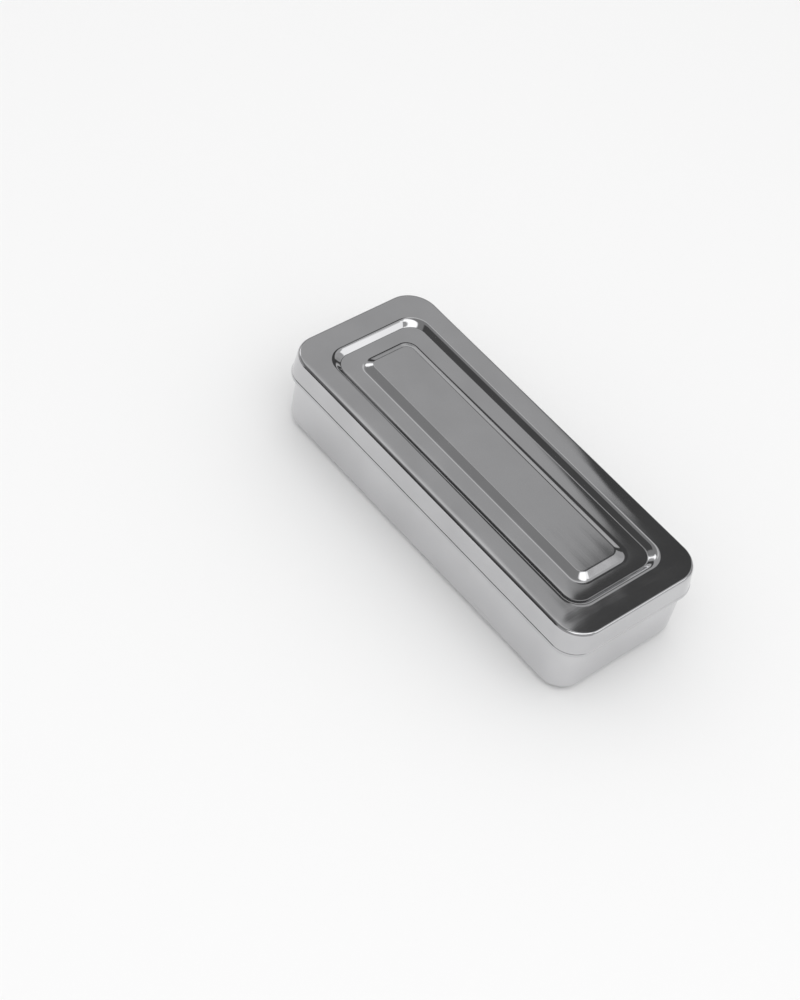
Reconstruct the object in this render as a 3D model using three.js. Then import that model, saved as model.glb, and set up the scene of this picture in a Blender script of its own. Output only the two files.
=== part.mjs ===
// Covered instrument tray: a long box and a lift-off lid, each deep-drawn from one sheet of stainless steel.
// Millimetres, +Z up. X runs along the length and Y across. The origin is the centre of the footprint,
// on the surface that the box stands on.

import * as THREE from 'three';
import { LoftGeometry } from 'three/addons/geometries/LoftGeometry.js';

// Overall sizes with the lid on, measured at the lid's lower edge, which is the widest part.
const LENGTH = 200;
const WIDTH = 79;
const HEIGHT = 43.2;
const SHEET = 0.7;

// Lid: a pan turned upside down, whose skirt leans out a little towards its lower edge.
const SKIRT_HEIGHT = 14.2;
const SKIRT_LEAN = 0.4;
const LID_CORNER = 14;
const SKIRT_EDGE_CORNER = 12;
const LID_FILLET = 1.6;

// Pressed pattern on the lid: a flat border, a slope down to a sunk channel, and a slope up to the panel.
const BORDER_AT_SIDES = 11;
const BORDER_AT_ENDS = 12.6;
const RECESS_DEPTH = 2.05;
const RECESS_SLOPE = 4.3;
const RECESS_CORNER = 10;
const CHANNEL_CORNER = 8;
const CHANNEL_AT_SIDES = 7.3;
const CHANNEL_AT_ENDS = 5.7;
const PANEL_FOOT_CORNER = 7;
const PANEL_SLOPE = 5.3;
const PANEL_RISE = 1.65;
const PANEL_CORNER = 3.5;

// Box body: it stands inside the skirt, and its walls lean in towards the base.
const SKIRT_CLEARANCE = 0.45;
const REST_GAP = 0.45;
const WALL_LEAN = 0.6;
const BASE_FILLET = 6;

// Facets.
const ARC_STEPS = 9;
const FILLET_STEPS = 5;
const SLOPE_STEPS = 5;

// A level is one horizontal outline of a shell: half length x, half width y, corner radius r, height z.

const lidTop = {
  x: LENGTH / 2 - SKIRT_LEAN,
  y: WIDTH / 2 - SKIRT_LEAN,
  r: LID_CORNER,
  z: HEIGHT,
};
const skirtEdge = { x: LENGTH / 2, y: WIDTH / 2, r: SKIRT_EDGE_CORNER, z: HEIGHT - SKIRT_HEIGHT };
const bodyRim = inset(lidTop, SHEET + SKIRT_CLEARANCE, HEIGHT - SHEET - REST_GAP);
const bodyBase = inset(bodyRim, WALL_LEAN, 0);

// The same outline moved in by a distance all round, at a height of its own.
function inset(level, distance, z = level.z) {
  return { x: level.x - distance, y: level.y - distance, r: level.r - distance, z };
}

// The outline part of the way from one level to another.
function between(from, to, along, climb = along) {
  return {
    x: THREE.MathUtils.lerp(from.x, to.x, along),
    y: THREE.MathUtils.lerp(from.y, to.y, along),
    r: THREE.MathUtils.lerp(from.r, to.r, along),
    z: THREE.MathUtils.lerp(from.z, to.z, climb),
  };
}

// A pressed slope: level at both ends, steepest half way.
function slope(from, to) {
  const levels = [];
  for (let i = 0; i <= SLOPE_STEPS; i++) {
    const along = i / SLOPE_STEPS;
    levels.push(between(from, to, along, (1 - Math.cos(Math.PI * along)) / 2));
  }
  return levels;
}

// A quarter round under the corner of a flat face (side 1) or over it (side -1), from the face to the wall.
function fillet(corner, radius, side) {
  const levels = [];
  for (let i = 0; i <= FILLET_STEPS; i++) {
    const turn = (i / FILLET_STEPS) * (Math.PI / 2);
    const drop = radius * (1 - Math.cos(turn));
    levels.push(inset(corner, radius * (1 - Math.sin(turn)), corner.z - side * drop));
  }
  return levels;
}

// The corner points of one level, anticlockwise seen from above.
function outline({ x, y, r, z }) {
  const points = [];
  for (let corner = 0; corner < 4; corner++) {
    const sideX = corner === 0 || corner === 3 ? 1 : -1;
    const sideY = corner < 2 ? 1 : -1;
    for (let i = 0; i <= ARC_STEPS; i++) {
      const angle = (corner + i / ARC_STEPS) * (Math.PI / 2);
      points.push(new THREE.Vector3(
        sideX * (x - r) + r * Math.cos(angle),
        sideY * (y - r) + r * Math.sin(angle),
        z,
      ));
    }
  }
  return points;
}

// A closed sheet: the middle of its lower face, out and round its edge, and back to the middle on top.
function shell(levels) {
  const sections = levels.map(outline);
  const middle = (z) => sections[0].map(() => new THREE.Vector3(0, 0, z));
  return new LoftGeometry([middle(levels[0].z), ...sections, middle(levels.at(-1).z)]);
}

// The pressed top of the lid, from the panel out to the border.
function pressedTop() {
  const recessTop = {
    x: lidTop.x - BORDER_AT_ENDS,
    y: lidTop.y - BORDER_AT_SIDES,
    r: RECESS_CORNER,
    z: HEIGHT,
  };
  const channelOuter = {
    x: recessTop.x - RECESS_SLOPE,
    y: recessTop.y - RECESS_SLOPE,
    r: CHANNEL_CORNER,
    z: HEIGHT - RECESS_DEPTH,
  };
  const channelInner = {
    x: channelOuter.x - CHANNEL_AT_ENDS,
    y: channelOuter.y - CHANNEL_AT_SIDES,
    r: PANEL_FOOT_CORNER,
    z: channelOuter.z,
  };
  const panel = {
    x: channelInner.x - PANEL_SLOPE,
    y: channelInner.y - PANEL_SLOPE,
    r: PANEL_CORNER,
    z: channelInner.z + PANEL_RISE,
  };
  return [...slope(panel, channelInner), ...slope(channelOuter, recessTop)];
}

function lidGeometry() {
  const top = pressedTop();
  const underside = top.map((level) => ({ ...level, z: level.z - SHEET }));
  const innerCorner = inset(lidTop, SHEET, HEIGHT - SHEET);
  return shell([
    ...underside,
    ...fillet(innerCorner, LID_FILLET - SHEET, 1),
    inset(skirtEdge, SHEET),
    skirtEdge,
    ...fillet(lidTop, LID_FILLET, 1).reverse(),
    ...top.reverse(),
  ]);
}

function bodyGeometry() {
  const innerBase = inset(bodyBase, SHEET, SHEET);
  return shell([
    ...fillet(bodyBase, BASE_FILLET, -1),
    bodyRim,
    inset(bodyRim, SHEET),
    ...fillet(innerBase, BASE_FILLET - SHEET, -1).reverse(),
  ]);
}

const polishedSteel = new THREE.MeshStandardMaterial({ color: 0xb4b4b6, roughness: 0.1, metalness: 1 });
const satinSteel = new THREE.MeshStandardMaterial({ color: 0xbcbcbd, roughness: 0.4, metalness: 1 });

const boxBody = new THREE.Mesh(bodyGeometry(), satinSteel);
boxBody.name = 'box_body';

const lid = new THREE.Mesh(lidGeometry(), polishedSteel);
lid.name = 'lid';

const tray = new THREE.Group();
tray.add(boxBody, lid);

export default tray;
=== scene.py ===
# Looks of the covered instrument tray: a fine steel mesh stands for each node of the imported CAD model.
# Metres, +Z up, X along the length, as in the CAD model.

import math
from collections import namedtuple

import bpy
from mathutils import Matrix, Vector, noise


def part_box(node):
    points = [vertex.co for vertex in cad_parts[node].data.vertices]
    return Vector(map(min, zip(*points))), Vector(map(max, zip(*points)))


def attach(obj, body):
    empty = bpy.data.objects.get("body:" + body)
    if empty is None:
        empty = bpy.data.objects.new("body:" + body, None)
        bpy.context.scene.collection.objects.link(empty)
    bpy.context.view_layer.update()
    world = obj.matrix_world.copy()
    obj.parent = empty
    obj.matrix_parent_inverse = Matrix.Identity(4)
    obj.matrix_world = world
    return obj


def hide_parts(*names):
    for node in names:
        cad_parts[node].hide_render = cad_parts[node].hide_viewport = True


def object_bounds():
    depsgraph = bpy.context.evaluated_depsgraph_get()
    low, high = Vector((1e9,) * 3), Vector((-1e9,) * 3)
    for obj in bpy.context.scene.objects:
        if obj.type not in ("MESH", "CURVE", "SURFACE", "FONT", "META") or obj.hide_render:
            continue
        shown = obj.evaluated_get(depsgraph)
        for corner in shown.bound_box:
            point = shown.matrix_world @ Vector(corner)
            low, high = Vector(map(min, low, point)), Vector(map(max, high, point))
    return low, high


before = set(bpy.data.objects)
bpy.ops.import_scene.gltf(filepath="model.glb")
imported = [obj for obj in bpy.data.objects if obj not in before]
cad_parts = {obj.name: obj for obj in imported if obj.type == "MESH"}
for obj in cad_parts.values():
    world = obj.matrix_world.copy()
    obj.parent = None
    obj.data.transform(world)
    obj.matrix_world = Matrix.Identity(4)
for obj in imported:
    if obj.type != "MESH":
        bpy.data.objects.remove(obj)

cad_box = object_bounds()
lid_low, lid_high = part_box("lid")
body_low, body_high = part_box("box_body")
MM = 0.001

# ---------------------------------------------------------------- camera

# The bearing and height of the camera around the tray, and how far it is rolled about its own line of sight.
VIEW_AZIMUTH = math.radians(39.98)
VIEW_ELEVATION = math.radians(48.44)
VIEW_ROLL = math.radians(13.89)
VIEW_DISTANCE = 1.0097
AIM = Vector((-8.9, -43.2, 30.0)) * MM
SENSOR = 36.0
LENS = 82.97


def add_camera():
    """The camera, looking down on one corner of the tray."""
    back = Vector((
        math.sin(VIEW_AZIMUTH) * math.cos(VIEW_ELEVATION),
        -math.cos(VIEW_AZIMUTH) * math.cos(VIEW_ELEVATION),
        math.sin(VIEW_ELEVATION),
    ))
    data = bpy.data.cameras.new("camera")
    data.sensor_width = SENSOR
    data.lens = LENS
    camera = bpy.data.objects.new("camera", data)
    upright = (-back).to_track_quat("-Z", "Y").to_matrix()
    turn = Matrix.Rotation(VIEW_ROLL, 3, "Z")
    camera.matrix_world = Matrix.Translation(AIM + back * VIEW_DISTANCE) @ (upright @ turn).to_4x4()
    bpy.context.scene.collection.objects.link(camera)
    bpy.context.scene.camera = camera


# ---------------------------------------------------------------- drawn shells

# A level is one horizontal outline of a shell: half length x, half width y, corner radius r, height z.
Level = namedtuple("Level", "x y r z")

SHEET = 0.7 * MM
EDGE_ROUND = 0.34 * MM

# The lid and the pattern pressed into it.
SKIRT_LEAN = 0.4 * MM
LID_CORNER = 14 * MM
SKIRT_EDGE_CORNER = 12 * MM
LID_FILLET = 1.6 * MM

BORDER_AT_SIDES = 11 * MM
BORDER_AT_ENDS = 12.6 * MM
RECESS_DEPTH = 2.05 * MM
RECESS_SLOPE = 4.3 * MM
RECESS_CORNER = 10 * MM
CHANNEL_CORNER = 8 * MM
CHANNEL_AT_SIDES = 7.3 * MM
CHANNEL_AT_ENDS = 5.7 * MM
PANEL_FOOT_CORNER = 7 * MM
PANEL_SLOPE = 5.3 * MM
PANEL_RISE = 1.65 * MM
PANEL_CORNER = 3.5 * MM

# The share of a pressed slope's width that each of its rounds takes up.
PANEL_EDGE_SHARE = 0.12
PANEL_FOOT_SHARE = 0.42
CHANNEL_EDGE_SHARE = 0.12
RECESS_EDGE_SHARE = 0.5

# The box body.
WALL_LEAN = 0.6 * MM
BODY_CORNER = 12.85 * MM
BASE_FILLET = 6 * MM

# How finely the meshes are cut: along an outline first, then across it.
CORNER_STEPS = 20
LONG_STEPS = 56
SHORT_STEPS = 20
ROUND_STEPS = 6
FLANK_STEPS = 3
LIP_STEPS = 4
BEAD_STEPS = 6
FILLET_STEPS = 14
INNER_FILLET_STEPS = 6
PANEL_STEPS = 12
CHANNEL_STEPS = 9
BORDER_STEPS = 14
INNER_BORDER_STEPS = 4
SKIRT_STEPS = 8
INNER_SKIRT_STEPS = 6
WALL_STEPS = 12
BASE_STEPS = 8


def inset(level, distance, z=None):
    """The same outline moved in by a distance all round, at a height of its own."""
    height = level.z if z is None else z
    return Level(level.x - distance, level.y - distance, level.r - distance, height)


def between(start, end, along, climb):
    """The outline part of the way from one level to another."""
    def mix(a, b, t):
        return a + (b - a) * t

    return Level(
        mix(start.x, end.x, along),
        mix(start.y, end.y, along),
        mix(start.r, end.r, along),
        mix(start.z, end.z, climb),
    )


def ramp(along, soft_start, soft_end):
    """Rises from 0 to 1 on a straight flank, with a round over the given share of the width at each end."""
    steep = 1 / (1 - (soft_start + soft_end) / 2)
    if along < soft_start:
        return steep * along * along / (2 * soft_start)
    if along > 1 - soft_end:
        return 1 - steep * (1 - along) ** 2 / (2 * soft_end)
    return steep * (along - soft_start / 2)


def slope(start, end, soft_start, soft_end):
    """A pressed slope between two level faces."""
    flank = 1 - soft_start - soft_end
    shares = [soft_start * i / ROUND_STEPS for i in range(ROUND_STEPS)]
    shares += [soft_start + flank * i / FLANK_STEPS for i in range(FLANK_STEPS)]
    shares += [1 - soft_end * (1 - i / ROUND_STEPS) for i in range(ROUND_STEPS + 1)]
    return [between(start, end, share, ramp(share, soft_start, soft_end)) for share in shares]


def crowded(steps):
    """Shares of a way, without its ends, close together near both of them so that rounds end crisply."""
    return [(1 - math.cos(math.pi * i / steps)) / 2 for i in range(1, steps)]


def flat(start, end, steps):
    """A plain face between two outlines, without either of them."""
    return [between(start, end, share, share) for share in crowded(steps)]


def fillet(corner, radius, side, steps):
    """A quarter round under the corner of a flat face (side 1) or over it (side -1), from face to wall."""
    levels = []
    for i in range(steps + 1):
        turn = math.pi / 2 * i / steps
        drop = radius * (1 - math.cos(turn))
        levels.append(inset(corner, radius * (1 - math.sin(turn)), corner.z - side * drop))
    return levels


def outline(level):
    """The points of one level, anticlockwise seen from above, closely spaced on the straights as well."""
    points = []
    for corner in range(4):
        side_x = 1 if corner in (0, 3) else -1
        side_y = 1 if corner < 2 else -1
        centre_x = side_x * (level.x - level.r)
        centre_y = side_y * (level.y - level.r)
        for i in range(CORNER_STEPS + 1):
            angle = (corner + i / CORNER_STEPS) * math.pi / 2
            points.append(Vector((
                centre_x + level.r * math.cos(angle),
                centre_y + level.r * math.sin(angle),
                level.z,
            )))
        steps = LONG_STEPS if corner in (0, 2) else SHORT_STEPS
        along_x = corner in (0, 2)
        start = points[-1]
        length = 2 * (level.x - level.r) if along_x else 2 * (level.y - level.r)
        direction = Vector((-side_x, 0, 0)) if along_x else Vector((0, -side_y, 0))
        points += [start + direction * length * share for share in crowded(steps)]
    return points


def middle(level, steps):
    """Outlines that shrink from a level towards the middle of its flat face, without the level itself."""
    sizes = [math.cos(math.pi / 2 * i / steps) for i in range(1, steps)]
    return [Level(level.x * size, level.y * size, level.r * size, level.z) for size in sizes]


def shell(name, levels, shift):
    """A closed smooth mesh through a list of levels, from the middle of one face to that of the other."""
    rings = [outline(level) for level in levels]
    count = len(rings[0])
    points = [Vector((0, 0, levels[0].z))]
    for ring in rings:
        points += ring
    points.append(Vector((0, 0, levels[-1].z)))
    last = len(points) - 1
    faces = [(0, 1 + (i + 1) % count, 1 + i) for i in range(count)]
    for row in range(len(rings) - 1):
        low = 1 + row * count
        high = low + count
        for i in range(count):
            j = (i + 1) % count
            faces.append((low + i, low + j, high + j, high + i))
    top = 1 + (len(rings) - 1) * count
    faces += [(last, top + i, top + (i + 1) % count) for i in range(count)]
    mesh = bpy.data.meshes.new(name)
    mesh.from_pydata([p + shift(p) for p in points], [], faces)
    mesh.polygons.foreach_set("use_smooth", [True] * len(mesh.polygons))
    mesh.update()
    made = bpy.data.objects.new(name, mesh)
    bpy.context.scene.collection.objects.link(made)
    return made


# ---------------------------------------------------------------- the two pieces

SKIRT_INSET = 0.06 * MM
BEAD_DEPTH = 0.3 * MM
BEAD_HEIGHT = 1.5 * MM
BEAD_FLARE = 0.6 * MM

# How far the border and the channel fall towards their outer edges, and how suddenly.
BORDER_CROWN = 0.22 * MM
CHANNEL_SAG = 0.18 * MM
FALL_POWER = 3

# The unevenness of the sheet. Its streaks run along the tray, and across it where the end zone has started.
WAVE_LENGTH = 38 * MM
WAVE_HEIGHT = 0.03 * MM
STREAK_LENGTH = 55 * MM
STREAK_WIDTH = 5 * MM
STREAK_HEIGHT = 0.018 * MM
RIPPLE_LENGTH = 12 * MM
RIPPLE_HEIGHT = 0.008 * MM
BORDER_UNEVENNESS = 3.2
END_ZONE = 80 * MM
LID_SEED = 3.0
BODY_SEED = 11.0
END_STREAK_SEED = 5

# noise_vector adds an offset that Blender draws anew in each run, unless the draw is seeded.
NOISE_SEED = 1
noise.seed_set(NOISE_SEED)


def rise(value, low, high):
    """A smooth step from 0 at low to 1 at high."""
    share = min(max((value - low) / (high - low), 0.0), 1.0)
    return share * share * (3 - 2 * share)


def wave(point, seed, strength=1.0):
    """The slight unevenness of polished sheet: waves, and streaks and ripples of a given strength."""
    moved = noise.noise_vector(point / WAVE_LENGTH + Vector((seed, 0, 0))) * WAVE_HEIGHT
    side = noise.noise(Vector((point.x / STREAK_LENGTH, point.y / STREAK_WIDTH, seed)))
    end = noise.noise(Vector((point.x / STREAK_WIDTH, point.y / STREAK_LENGTH, seed + END_STREAK_SEED)))
    at_end = rise(abs(point.x), END_ZONE, END_ZONE + STREAK_WIDTH)
    streak = (side + (end - side) * at_end) * STREAK_HEIGHT
    ripple = noise.noise(point / RIPPLE_LENGTH + Vector((0, seed, 0))) * RIPPLE_HEIGHT
    moved.z += (streak + ripple) * strength
    return moved


def falling(start, end, steps):
    """A face between two outlines, without either, which falls away more and more towards the outer one."""
    return [between(start, end, share, share ** FALL_POWER) for share in crowded(steps)]


def pressed_top(top):
    """The pressed pattern, from the middle of the panel out to the border."""
    recess_top = Level(top.x - BORDER_AT_ENDS, top.y - BORDER_AT_SIDES, RECESS_CORNER, top.z)
    channel_outer = Level(
        recess_top.x - RECESS_SLOPE,
        recess_top.y - RECESS_SLOPE,
        CHANNEL_CORNER,
        top.z - RECESS_DEPTH - CHANNEL_SAG,
    )
    channel_inner = Level(
        channel_outer.x - CHANNEL_AT_ENDS,
        channel_outer.y - CHANNEL_AT_SIDES,
        PANEL_FOOT_CORNER,
        top.z - RECESS_DEPTH,
    )
    panel = Level(
        channel_inner.x - PANEL_SLOPE,
        channel_inner.y - PANEL_SLOPE,
        PANEL_CORNER,
        channel_inner.z + PANEL_RISE,
    )
    return (
        middle(panel, PANEL_STEPS)[::-1]
        + slope(panel, channel_inner, PANEL_EDGE_SHARE, PANEL_FOOT_SHARE)
        + falling(channel_inner, channel_outer, CHANNEL_STEPS)
        + slope(channel_outer, recess_top, CHANNEL_EDGE_SHARE, RECESS_EDGE_SHARE)
    )


def lip(face, side):
    """The rounded end of a sheet, from its end face to its outer (side 1) or inner (-1) upright face."""
    levels = []
    for i in range(LIP_STEPS + 1):
        turn = math.pi / 2 * i / LIP_STEPS
        distance = side * EDGE_ROUND * (1 - math.sin(turn))
        levels.append(inset(face, distance, EDGE_ROUND * (1 - math.cos(turn))))
    return levels


def lifted(levels, start_z, direction):
    """The same levels with their heights counted up (1) or down (-1) from a start."""
    return [level._replace(z=start_z + direction * level.z) for level in levels]


def make_lid():
    """The lid's sheet, set in from the CAD lid's box by as much as its unevenness can reach."""
    unevenness = WAVE_HEIGHT + (STREAK_HEIGHT + RIPPLE_HEIGHT) * BORDER_UNEVENNESS
    top_z = lid_high.z - unevenness
    edge_z = lid_low.z + unevenness
    edge = Level(lid_high.x - SKIRT_INSET, lid_high.y - SKIRT_INSET, SKIRT_EDGE_CORNER, edge_z)
    top = Level(edge.x - SKIRT_LEAN, edge.y - SKIRT_LEAN, LID_CORNER, top_z)
    inner_edge = inset(edge, SHEET)
    pattern = pressed_top(top)
    shoulder = fillet(top._replace(z=top_z - BORDER_CROWN), LID_FILLET, 1, FILLET_STEPS)
    flare = []
    for i in range(BEAD_STEPS + 1):
        depth = BEAD_DEPTH * rise(i / BEAD_STEPS, 0, 1)
        flare.append(inset(edge, depth, edge_z + BEAD_HEIGHT + BEAD_FLARE * i / BEAD_STEPS))
    underside = [level._replace(z=level.z - SHEET) for level in pattern]
    inner_top = inset(top, SHEET, top_z - SHEET)
    inner_shoulder = fillet(inner_top, LID_FILLET - SHEET, 1, INNER_FILLET_STEPS)
    inner_end = inner_edge._replace(z=edge_z + EDGE_ROUND)
    levels = (
        underside
        + flat(underside[-1], inner_shoulder[0], INNER_BORDER_STEPS)
        + inner_shoulder
        + flat(inner_shoulder[-1], inner_end, INNER_SKIRT_STEPS)
        + lifted(lip(inner_edge, -1), edge_z, 1)[::-1]
        + lifted(lip(edge, 1), edge_z, 1)
        + flare
        + flat(flare[-1], shoulder[-1], SKIRT_STEPS)
        + shoulder[::-1]
        + falling(pattern[-1], shoulder[0], BORDER_STEPS)[::-1]
        + pattern[::-1]
    )

    def shift(point):
        """The lid's unevenness, with stronger streaks and ripples on the border."""
        past_recess = max(
            abs(point.x) - (top.x - BORDER_AT_ENDS),
            abs(point.y) - (top.y - BORDER_AT_SIDES),
        )
        on_border = rise(past_recess, 0, STREAK_WIDTH)
        return wave(point, LID_SEED, 1 + (BORDER_UNEVENNESS - 1) * on_border)

    return shell("steel_lid", levels, shift)


def make_body():
    """The box's sheet, from the middle of its underside to the middle of its floor."""
    rim = Level(body_high.x, body_high.y, BODY_CORNER, body_high.z)
    base = inset(rim, WALL_LEAN, body_low.z)
    inner_rim = inset(rim, SHEET)
    inner_base = inset(base, SHEET, body_low.z + SHEET)
    outer_round = fillet(base, BASE_FILLET, -1, FILLET_STEPS)
    inner_round = fillet(inner_base, BASE_FILLET - SHEET, -1, FILLET_STEPS)
    outer_lip = lifted(lip(rim, 1), rim.z, -1)[::-1]
    inner_lip = lifted(lip(inner_rim, -1), rim.z, -1)
    levels = (
        middle(outer_round[0], BASE_STEPS)[::-1]
        + outer_round
        + flat(outer_round[-1], outer_lip[0], WALL_STEPS)
        + outer_lip
        + inner_lip
        + flat(inner_lip[-1], inner_round[-1], WALL_STEPS)
        + inner_round[::-1]
        + middle(inner_round[0], BASE_STEPS)
    )

    def shift(point):
        """The box's unevenness, which fades out towards its rim and its flat base."""
        fade = rise(point.z, SHEET, BASE_FILLET)
        return wave(point, BODY_SEED) * fade * rise(rim.z - point.z, 0, BASE_FILLET)

    return shell("steel_body", levels, shift)


# ---------------------------------------------------------------- materials

BODY_COLOUR = (0.64, 0.64, 0.65)
BODY_ROUGHNESS = 0.18
BODY_LINES_DEPTH = 0.01 * MM
LID_COLOUR = (0.56, 0.56, 0.57)
LID_ROUGHNESS = 0.05
LID_LINES_DEPTH = 0.003 * MM

LINE_LENGTH = 20 * MM
LINE_WIDTH = 0.25 * MM
SCRATCH_LENGTH = 30 * MM
SCRATCH_WIDTH = 0.5 * MM
SMUDGE_SIZE = 22 * MM
LINE_DETAIL = 2.0
SMUDGE_DETAIL = 5.0

# The range of noise, or for worn edges of sharpness, over which each mark fades in, and what it then adds.
LINE_RANGE = (0.3, 0.7)
LINE_ROUGHNESS = (-0.01, 0.02)
SMUDGE_RANGE = (0.35, 0.70)
SMUDGE_ROUGHNESS = 0.05
SCRATCH_RANGE = (0.70, 0.74)
SCRATCH_ROUGHNESS = 0.06
SCRATCH_HEIGHT = -0.2
WORN_RANGE = (0.53, 0.60)
WORN_ROUGHNESS = 0.08
WORN_LIGHTENING = 0.3
TINT_RANGE = (0.3, 0.75)
DARKEST_TINT = 0.96
LIGHTEST_TINT = 1.05


class Nodes:
    """Short calls for the nodes of one material."""

    def __init__(self, name):
        self.material = bpy.data.materials.new(name)
        self.material.use_nodes = True
        self.tree = self.material.node_tree
        self.shader = self.tree.nodes["Principled BSDF"]
        self.place = self.tree.nodes.new("ShaderNodeTexCoord").outputs["Object"]

    def link(self, source, target):
        self.tree.links.new(source, target)

    def noise(self, size, detail):
        """Noise whose features are size metres along X, Y and Z."""
        mapping = self.tree.nodes.new("ShaderNodeMapping")
        mapping.inputs["Scale"].default_value = [1 / length for length in size]
        texture = self.tree.nodes.new("ShaderNodeTexNoise")
        texture.inputs["Scale"].default_value = 1.0
        texture.inputs["Detail"].default_value = detail
        self.link(self.place, mapping.inputs["Vector"])
        self.link(mapping.outputs["Vector"], texture.inputs["Vector"])
        return texture.outputs["Fac"]

    def spread(self, value, low, high, to_low, to_high):
        """Carries a value from one range to another, smoothly and without going past its ends."""
        node = self.tree.nodes.new("ShaderNodeMapRange")
        node.interpolation_type = "SMOOTHSTEP"
        ends = {"From Min": low, "From Max": high, "To Min": to_low, "To Max": to_high}
        for name, number in ends.items():
            node.inputs[name].default_value = number
        self.link(value, node.inputs["Value"])
        return node.outputs["Result"]

    def blend(self, share, first, second):
        """The first value where the share is 0, the second where it is 1."""
        node = self.tree.nodes.new("ShaderNodeMix")
        node.data_type = "FLOAT"
        for name, value in (("Factor", share), ("A", first), ("B", second)):
            self.link(value, node.inputs[name])
        return node.outputs["Result"]

    def math(self, operation, first, second):
        """One operation on two values, each of them a number or another node's output."""
        node = self.tree.nodes.new("ShaderNodeMath")
        node.operation = operation
        for socket, value in zip(node.inputs, (first, second)):
            if isinstance(value, (int, float)):
                socket.default_value = value
            else:
                self.link(value, socket)
        return node.outputs["Value"]


def follow_edges(nodes, length, width):
    """Noise drawn out into lines: along the sides of the tray, and across its ends."""
    along = nodes.noise((length, width, width), LINE_DETAIL)
    across = nodes.noise((width, length, width), LINE_DETAIL)
    split = nodes.tree.nodes.new("ShaderNodeSeparateXYZ")
    nodes.link(nodes.place, split.inputs["Vector"])
    distance = nodes.math("ABSOLUTE", split.outputs["X"], 0.0)
    at_end = nodes.spread(distance, END_ZONE, END_ZONE + STREAK_WIDTH, 0.0, 1.0)
    return nodes.blend(at_end, along, across)


def steel(name, colour, roughness, lines_depth):
    """Bare stainless steel: polishing lines, wiped smudges, fine scratches and edges rubbed dull."""
    nodes = Nodes(name)
    lines = follow_edges(nodes, LINE_LENGTH, LINE_WIDTH)
    smudges = nodes.noise((SMUDGE_SIZE, SMUDGE_SIZE, SMUDGE_SIZE), SMUDGE_DETAIL)
    marks = follow_edges(nodes, SCRATCH_LENGTH, SCRATCH_WIDTH)
    scratches = nodes.spread(marks, *SCRATCH_RANGE, 0.0, 1.0)
    edge = nodes.tree.nodes.new("ShaderNodeNewGeometry").outputs["Pointiness"]
    worn = nodes.spread(edge, *WORN_RANGE, 0.0, 1.0)

    rough = nodes.spread(smudges, *SMUDGE_RANGE, roughness, roughness + SMUDGE_ROUGHNESS)
    rough = nodes.math("ADD", rough, nodes.spread(lines, *LINE_RANGE, *LINE_ROUGHNESS))
    rough = nodes.math("ADD", rough, nodes.math("MULTIPLY", worn, WORN_ROUGHNESS))
    rough = nodes.math("ADD", rough, nodes.math("MULTIPLY", scratches, SCRATCH_ROUGHNESS))
    nodes.link(rough, nodes.shader.inputs["Roughness"])

    tint = nodes.tree.nodes.new("ShaderNodeValToRGB")
    ends = zip(tint.color_ramp.elements, TINT_RANGE, (DARKEST_TINT, LIGHTEST_TINT))
    for element, position, strength in ends:
        element.position = position
        element.color = (*[channel * strength for channel in colour], 1)
    lightness = nodes.math("ADD", smudges, nodes.math("MULTIPLY", worn, WORN_LIGHTENING))
    nodes.link(lightness, tint.inputs["Fac"])
    nodes.link(tint.outputs["Color"], nodes.shader.inputs["Base Color"])
    nodes.shader.inputs["Metallic"].default_value = 1.0

    bump = nodes.tree.nodes.new("ShaderNodeBump")
    bump.inputs["Strength"].default_value = 1.0
    bump.inputs["Distance"].default_value = lines_depth
    height = nodes.math("ADD", lines, nodes.math("MULTIPLY", scratches, SCRATCH_HEIGHT))
    nodes.link(height, bump.inputs["Height"])
    nodes.link(bump.outputs["Normal"], nodes.shader.inputs["Normal"])
    return nodes.material


# ---------------------------------------------------------------- floor and light

FLOOR_REACH = 6.0
FLOOR_GAP = 0.02 * MM
FLOOR_COLOUR = (0.9, 0.9, 0.9, 1)
FLOOR_ROUGHNESS = 0.9

SKY_COLOUR = (1, 1, 1, 1)
SKY_STRENGTH = 0.92

LIGHT_PLACE = (0.45, -0.3, 1.5)
LIGHT_SIZE = 1.6
LIGHT_ENERGY = 5.3

DOME_RADIUS = 3.0
DOME_STEP = 1  # degrees
DOME_GLOW = 0.50
LOWEST_OVERHEAD = 0.1  # the least height, on a dome of radius 1, at which overhead cards are laid

# A card glows over a range of directions with soft ends. Overhead, u and v are the slopes x / z and y / z of
# its edges; on the walls they are its bearing and elevation in degrees. Each is laid over the one before.
Card = namedtuple("Card", "u v blur glow")
OVERHEAD_CARDS = (
    Card((-1.40, 0.50), (-1.00, 0.25), 0.15, 0.31),
    Card((-1.00, 0.00), (0.34, 0.50), 0.04, 0.85),
    Card((-0.85, -0.30), (-0.80, -0.33), 0.07, 0.09),
    Card((0.07, 0.46), (-0.38, 0.44), 0.05, 1.90),
    Card((-0.10, 0.48), (0.48, 1.10), 0.03, 0.57),
    Card((0.46, 1.00), (0.48, 1.10), 0.03, 1.45),
    Card((0.28, 0.46), (0.40, 0.66), 0.04, 1.60),
    Card((1.00, 1.60), (0.48, 1.30), 0.05, 0.25),
)
WALL_CARDS = (
    Card((95, 165), (-20, 8), 2.0, 0.65),
    Card((95, 165), (11, 23), 2.0, 0.07),
    Card((232, 258), (-20, 46), 3.0, 0.07),
    Card((10, 92), (-20, 25), 4.0, 0.40),
    Card((10, 60), (-20, 25), 4.0, 0.85),
    Card((165, 179), (29, 43), 2.0, 1.80),
    Card((98, 120.6), (20, 60), 0.8, 0.08),
)


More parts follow.
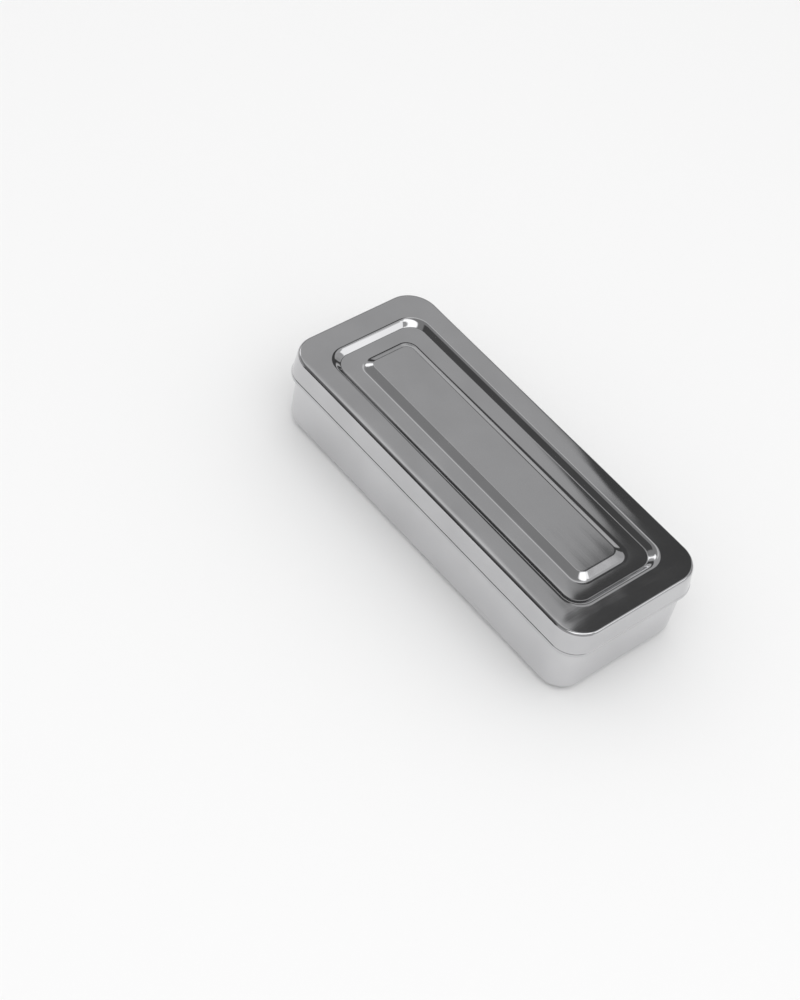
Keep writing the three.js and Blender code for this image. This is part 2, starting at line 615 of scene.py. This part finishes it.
def share_in(card, u, v):
    """1 inside a card, 0 outside it."""
    share = 1.0
    for value, (low, high) in ((u, card.u), (v, card.v)):
        before_end = 1 - rise(value, high - card.blur, high + card.blur)
        share *= rise(value, low - card.blur, low + card.blur) * before_end
    return share


def studio_glow(direction):
    """How brightly the studio glows in a direction: the dome's own glow, with the cards laid over it."""
    glow = DOME_GLOW
    if direction.z > LOWEST_OVERHEAD:
        u = direction.x / direction.z
        v = direction.y / direction.z
        for card in OVERHEAD_CARDS:
            glow += (card.glow - glow) * share_in(card, u, v)
    bearing = math.degrees(math.atan2(direction.y, direction.x)) % 360
    elevation = math.degrees(math.asin(direction.z))
    for card in WALL_CARDS:
        glow += (card.glow - glow) * share_in(card, bearing, elevation)
    return glow


def add_dome():
    """The studio around the tray, seen by its polished faces alone."""
    columns = 360 // DOME_STEP
    directions = []
    for elevation in range(0, 90, DOME_STEP):
        level = math.cos(math.radians(elevation))
        for i in range(columns):
            bearing = math.radians(i * DOME_STEP)
            height = math.sin(math.radians(elevation))
            directions.append(Vector((level * math.cos(bearing), level * math.sin(bearing), height)))
    directions.append(Vector((0, 0, 1)))
    top = len(directions) - 1
    faces = []
    for start in range(0, top - columns, columns):
        for i in range(columns):
            j = (i + 1) % columns
            faces.append((start + i, start + columns + i, start + columns + j, start + j))
    faces += [(top - columns + i, top, top - columns + (i + 1) % columns) for i in range(columns)]
    mesh = bpy.data.meshes.new("studio_dome")
    mesh.from_pydata([direction * DOME_RADIUS for direction in directions], [], faces)
    glow = mesh.attributes.new("glow", "FLOAT", "POINT")
    glow.data.foreach_set("value", [studio_glow(direction) for direction in directions])
    dome = bpy.data.objects.new("studio_dome", mesh)
    bpy.context.scene.collection.objects.link(dome)
    dome.visible_camera = False
    dome.visible_diffuse = False
    dome.visible_shadow = False
    dome.visible_transmission = False
    material = bpy.data.materials.new("studio_dome")
    material.use_nodes = True
    tree = material.node_tree
    tree.nodes.clear()
    attribute = tree.nodes.new("ShaderNodeAttribute")
    attribute.attribute_name = "glow"
    emission = tree.nodes.new("ShaderNodeEmission")
    output = tree.nodes.new("ShaderNodeOutputMaterial")
    tree.links.new(attribute.outputs["Fac"], emission.inputs["Strength"])
    tree.links.new(emission.outputs["Emission"], output.inputs["Surface"])
    material.cycles.emission_sampling = "NONE"
    mesh.materials.append(material)


def add_floor():
    """The plain floor, a hair below the tray's base."""
    reach = FLOOR_REACH
    corners = [(-reach, -reach, 0), (reach, -reach, 0), (reach, reach, 0), (-reach, reach, 0)]
    mesh = bpy.data.meshes.new("floor")
    mesh.from_pydata(corners, [], [(0, 1, 2, 3)])
    floor = bpy.data.objects.new("floor", mesh)
    floor.location.z = cad_box[0].z - FLOOR_GAP
    bpy.context.scene.collection.objects.link(floor)
    material = bpy.data.materials.new("floor")
    material.use_nodes = True
    shader = material.node_tree.nodes["Principled BSDF"]
    shader.inputs["Base Color"].default_value = FLOOR_COLOUR
    shader.inputs["Roughness"].default_value = FLOOR_ROUGHNESS
    mesh.materials.append(material)


def add_world():
    """The even white light all around."""
    world = bpy.data.worlds.new("studio")
    bpy.context.scene.world = world
    world.use_nodes = True
    background = world.node_tree.nodes["Background"]
    background.inputs["Color"].default_value = SKY_COLOUR
    background.inputs["Strength"].default_value = SKY_STRENGTH


def add_light():
    """The soft light overhead, which polished faces don't mirror."""
    data = bpy.data.lights.new("overhead", "AREA")
    data.size = LIGHT_SIZE
    data.energy = LIGHT_ENERGY
    light = bpy.data.objects.new("overhead", data)
    light.location = LIGHT_PLACE
    light.visible_glossy = False
    bpy.context.scene.collection.objects.link(light)


add_camera()
bpy.context.scene.view_settings.view_transform = "Standard"
body = make_body()
body.data.materials.append(steel("satin_steel", BODY_COLOUR, BODY_ROUGHNESS, BODY_LINES_DEPTH))
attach(body, "box")
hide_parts("box_body")
lid = make_lid()
lid.data.materials.append(steel("polished_steel", LID_COLOUR, LID_ROUGHNESS, LID_LINES_DEPTH))
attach(lid, "lid")
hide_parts("lid")
add_floor()
add_dome()
add_world()
add_light()
